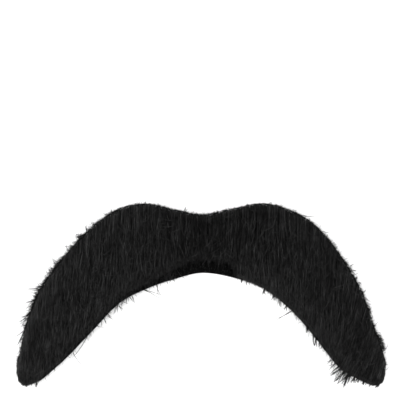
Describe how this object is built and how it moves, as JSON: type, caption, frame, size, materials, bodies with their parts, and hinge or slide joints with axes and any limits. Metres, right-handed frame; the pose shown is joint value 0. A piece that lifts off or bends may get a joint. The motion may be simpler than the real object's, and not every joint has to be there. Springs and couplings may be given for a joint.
{
  "type": "fake moustache",
  "caption": "Drooping false moustache of black combed fur on a curved cloth backing, with an adhesive strip behind its middle.",
  "frame": {"origin": "middle of the adhesive strip's sticking face, in the plane that the moustache lies on", "axes": "+X from the left tip to the right one as seen from the hair side, +Y up the wearer's face, +Z out of the face through the hair"},
  "size_m": [0.113, 0.0556, 0.0079],
  "materials": {
    "backing": "matt black polyester knit",
    "hair_pile": "black modacrylic pile, combed down, with a soft sheen",
    "adhesive_strip": "waxed paper liner on double-sided tape"
  },
  "bodies": {
    "root": {"backing": "backing", "hair_pile": "hair_pile", "adhesive_strip": "adhesive_strip"}
  },
  "joints": []
}
